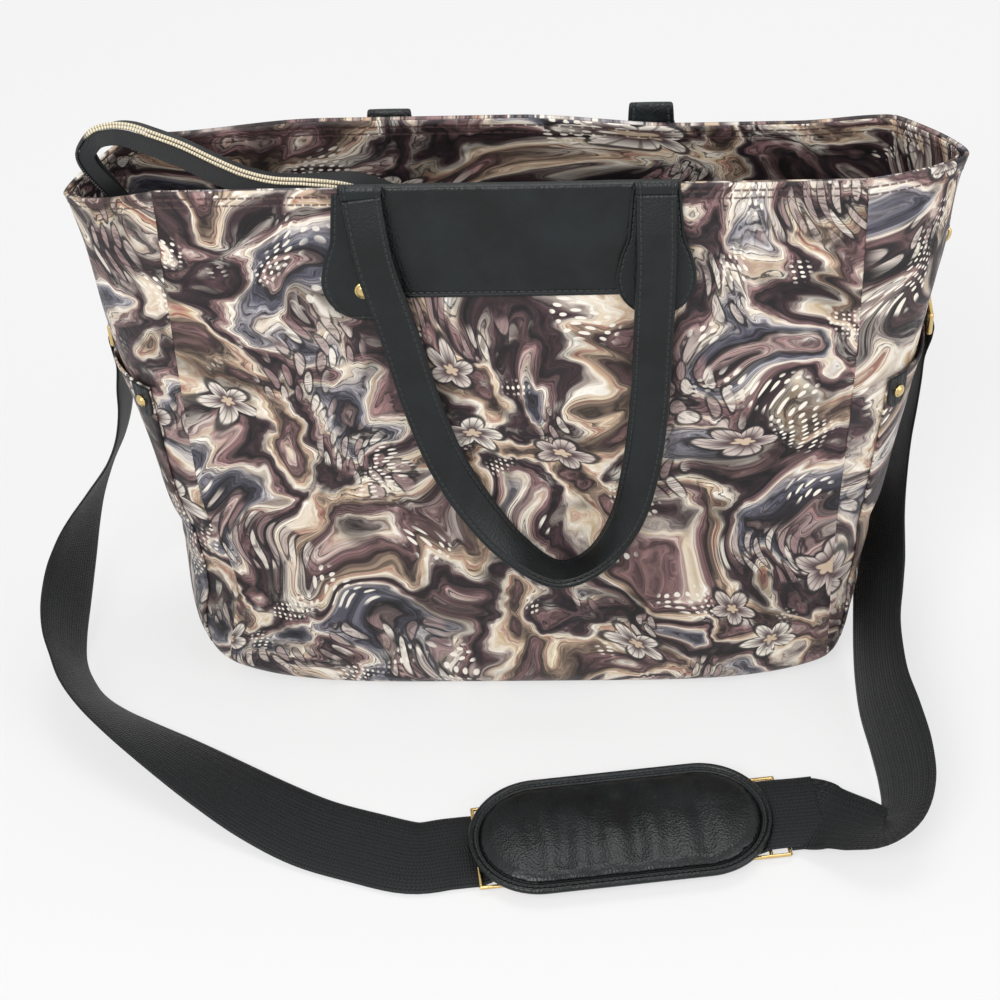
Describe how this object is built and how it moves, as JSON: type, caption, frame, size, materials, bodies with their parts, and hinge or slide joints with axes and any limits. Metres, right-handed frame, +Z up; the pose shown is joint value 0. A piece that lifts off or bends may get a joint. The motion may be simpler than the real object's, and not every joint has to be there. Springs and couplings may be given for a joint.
{
  "type": "travel tote bag",
  "caption": "Upright zip-top tote with a printed cloth body, leather carry handles on the broad faces, and a padded webbing shoulder strap clipped to side rings.",
  "frame": {"origin": "middle of the base on the ground", "axes": "+X to the right of the front face, +Y to the back, +Z up"},
  "size_m": [0.5232, 0.3167, 0.3551],
  "materials": {
    "print_cloth": "printed coated canvas, satin",
    "side_cloth": "printed coated canvas, satin",
    "lining_cloth": "plain lining",
    "black_leather": "smooth black, semi-gloss",
    "gold_metal": "pale gold plate",
    "webbing": "woven webbing",
    "zip_coil": "cream coil"
  },
  "bodies": {
    "bag": {"base_panel": "print_cloth", "front_panel": "print_cloth", "back_panel": "print_cloth", "facing": "print_cloth", "left_gusset": "side_cloth", "right_gusset": "side_cloth", "left_side_pocket": "side_cloth", "right_side_pocket": "side_cloth", "lining": "lining_cloth", "base_board": "lining_cloth", "front_patch": "black_leather", "back_patch": "black_leather", "front_left_tab": "black_leather", "front_right_tab": "black_leather", "back_left_tab": "black_leather", "back_right_tab": "black_leather", "left_pocket_tabs": "black_leather", "right_pocket_tabs": "black_leather", "left_ring_tab": "black_leather", "right_ring_tab": "black_leather", "pad_cover": "black_leather", "pad_piping": "black_leather", "front_rivets": "gold_metal", "back_rivets": "gold_metal", "pocket_rivets": "gold_metal", "left_d_ring": "gold_metal", "right_d_ring": "gold_metal", "left_hook_eye": "gold_metal", "right_hook_eye": "gold_metal", "left_adjuster": "gold_metal", "right_adjuster": "gold_metal", "zip_slider": "gold_metal", "strap_left": "webbing", "strap_right": "webbing", "pad_base": "webbing", "zip_tape_front": "webbing", "zip_tape_back": "webbing", "zip_teeth_front": "zip_coil", "zip_teeth_back": "zip_coil"},
    "front_handle": {"front_handle": "black_leather"},
    "back_handle": {"back_handle": "black_leather"},
    "left_hook": {"left_hook": "gold_metal"},
    "left_gate": {"left_gate": "gold_metal"},
    "right_hook": {"right_hook": "gold_metal"},
    "right_gate": {"right_gate": "gold_metal"},
    "zip_pull": {"zip_pull": "gold_metal"}
  },
  "joints": [
    {"name": "front_handle_lift", "type": "hinge", "parent": "bag", "child": "front_handle", "pos_m": [0, -0.0295, 0.33], "axis": [-1, 0, 0], "range_deg": [0, 170]},
    {"name": "back_handle_lift", "type": "hinge", "parent": "bag", "child": "back_handle", "pos_m": [0, 0.0345, 0.33], "axis": [1, 0, 0], "range_deg": [0, 170]},
    {"name": "left_hook_swivel", "type": "hinge", "parent": "bag", "child": "left_hook", "pos_m": [-0.22693, 0.03207, 0.2487], "axis": [0, 0, 1], "range_deg": [-25, 25]},
    {"name": "right_hook_swivel", "type": "hinge", "parent": "bag", "child": "right_hook", "pos_m": [0.22693, 0.03207, 0.2487], "axis": [0, 0, 1], "range_deg": [-25, 25]},
    {"name": "left_gate_press", "type": "hinge", "parent": "left_hook", "child": "left_gate", "pos_m": [-0.22433, 0.02958, 0.2393], "axis": [-0.6926, -0.7213, 0], "range_deg": [0, 28], "stiffness_Nm_per_rad": 0.02, "springref_deg": -11.46},
    {"name": "right_gate_press", "type": "hinge", "parent": "right_hook", "child": "right_gate", "pos_m": [0.22433, 0.02958, 0.2393], "axis": [-0.6926, 0.7213, 0], "range_deg": [0, 28], "stiffness_Nm_per_rad": 0.02, "springref_deg": -11.46},
    {"name": "zip_pull_swing", "type": "hinge", "parent": "bag", "child": "zip_pull", "pos_m": [-0.05847, -0.00897, 0.30795], "axis": [-0.3548, -0.6665, -0.6557], "range_deg": [0, 130]}
  ]
}
